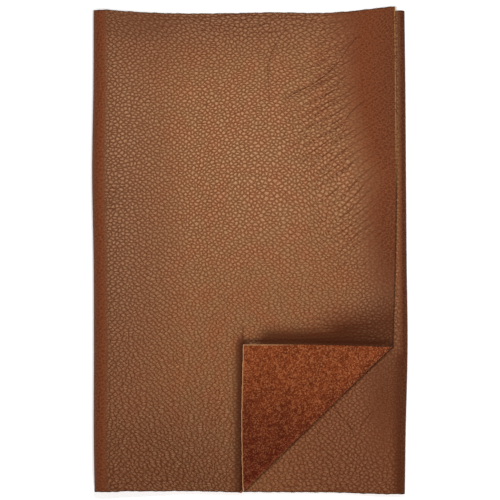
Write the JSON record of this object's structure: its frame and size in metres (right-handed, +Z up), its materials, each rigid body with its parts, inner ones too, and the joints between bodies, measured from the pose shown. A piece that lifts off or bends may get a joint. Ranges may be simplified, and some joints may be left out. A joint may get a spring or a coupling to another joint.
{
  "type": "folded cowhide leather piece",
  "caption": "Flat cut of pebble-grained brown cowhide, folded in thirds and lying flat, with a corner of its top panel turned back to show the suede side.",
  "frame": {"origin": "under the middle of the folded piece's footprint, on the surface it lies on", "axes": "+Z up, off the surface; +Y along the two upright folds, away from the turned corner; +X from the left fold to the right fold"},
  "size_m": [0.1998, 0.3084, 0.0141],
  "materials": {
    "leather": "satin pebbled grain side, napped flesh side in rust brown"
  },
  "bodies": {
    "root": {"leather_piece": "leather"}
  },
  "joints": []
}
